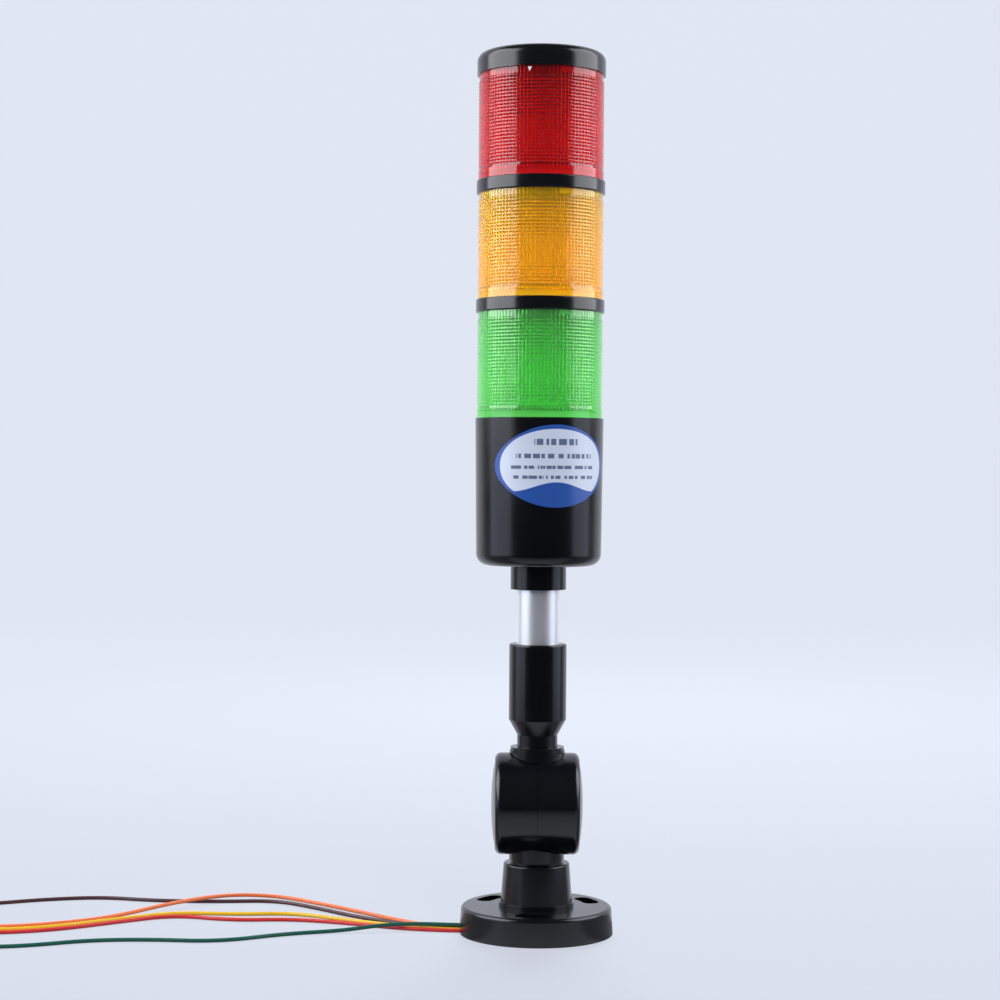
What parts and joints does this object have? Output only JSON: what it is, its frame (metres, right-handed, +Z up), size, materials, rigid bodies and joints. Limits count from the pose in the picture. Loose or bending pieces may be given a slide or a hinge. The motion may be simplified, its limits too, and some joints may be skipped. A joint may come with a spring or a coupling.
{
  "type": "stack light",
  "caption": "Signal tower with red, amber and green ribbed lens tiers on a black housing, an aluminium pole and a folding knuckle foot with flying leads.",
  "frame": {"origin": "centre of the flange's underside", "axes": "+Z up along the pole, +X along the fold axis to the viewer's right, leads leave towards -X"},
  "size_m": [0.3041, 0.1259, 0.346],
  "materials": {
    "black_abs": "satin moulded",
    "black_gloss": "semi-gloss moulded",
    "inner_black": "moulded",
    "red_lens": "clear moulded polycarbonate",
    "amber_lens": "clear moulded polycarbonate",
    "green_lens": "clear moulded polycarbonate",
    "contact_brass": "plated",
    "board_green": "solder mask",
    "led_white": "moulded",
    "seal_rubber": "moulded",
    "tube_aluminium": "drawn, satin anodised",
    "fibre_washer": "pressed fibre",
    "label_film": "printed film",
    "zinc_steel": "zinc plated",
    "orange_insulation": "PVC",
    "brown_insulation": "PVC",
    "yellow_insulation": "PVC",
    "red_insulation": "PVC",
    "green_insulation": "PVC"
  },
  "bodies": {
    "base": {"base_flange": "black_abs", "lower_knuckle": "black_abs", "stem_nut": "zinc_steel", "left_hub_cap": "black_abs", "pivot_bolt": "zinc_steel", "pivot_washer": "zinc_steel", "pivot_spring_washer": "zinc_steel", "pivot_nut": "zinc_steel", "friction_washer": "fibre_washer", "orange_lead": "orange_insulation", "brown_lead": "brown_insulation", "yellow_lead": "yellow_insulation", "red_lead": "red_insulation", "green_lead": "green_insulation", "orange_lead_coil": "orange_insulation", "brown_lead_coil": "brown_insulation", "yellow_lead_coil": "yellow_insulation", "red_lead_coil": "red_insulation", "green_lead_coil": "green_insulation", "lead_ties": "inner_black"},
    "pole": {"upper_knuckle": "black_abs", "right_hub_cap": "black_abs", "socket_set_screw": "zinc_steel", "pole_tube": "tube_aluminium", "collar_set_screw": "zinc_steel", "housing": "black_abs", "rating_label": "label_film", "control_board": "board_green", "board_screws": "zinc_steel", "buzzer": "inner_black", "housing_top_plate": "inner_black", "housing_contact_board": "board_green"},
    "green_tier": {"green_lens": "green_lens", "green_board_carrier": "inner_black", "green_contact_pins": "contact_brass", "green_led_board": "board_green", "green_leds": "led_white", "green_seal": "seal_rubber", "lower_ring": "black_gloss", "lower_contact_board": "board_green"},
    "amber_tier": {"amber_lens": "amber_lens", "amber_board_carrier": "inner_black", "amber_contact_pins": "contact_brass", "amber_led_board": "board_green", "amber_leds": "led_white", "amber_seal": "seal_rubber", "upper_ring": "black_gloss", "upper_contact_board": "board_green"},
    "red_tier": {"red_lens": "red_lens", "red_board_carrier": "inner_black", "red_contact_pins": "contact_brass", "red_led_board": "board_green", "red_leds": "led_white", "red_seal": "seal_rubber"},
    "cap": {"top_cap": "black_gloss", "cap_seal": "seal_rubber"}
  },
  "joints": [
    {"name": "fold", "type": "hinge", "parent": "base", "child": "pole", "pos_m": [0, 0, 0.0509], "axis": [1, 0, 0], "range_deg": [-90, 90]},
    {"name": "green_twist", "type": "hinge", "parent": "pole", "child": "green_tier", "pos_m": [0, 0, 0.2025], "axis": [0, 0, 1], "range_deg": [0, 25]},
    {"name": "amber_twist", "type": "hinge", "parent": "green_tier", "child": "amber_tier", "pos_m": [0, 0, 0.249], "axis": [0, 0, 1], "range_deg": [0, 25]},
    {"name": "red_twist", "type": "hinge", "parent": "amber_tier", "child": "red_tier", "pos_m": [0, 0, 0.2955], "axis": [0, 0, 1], "range_deg": [0, 25]},
    {"name": "cap_twist", "type": "hinge", "parent": "red_tier", "child": "cap", "pos_m": [0, 0, 0.3368], "axis": [0, 0, 1], "range_deg": [0, 30]}
  ]
}
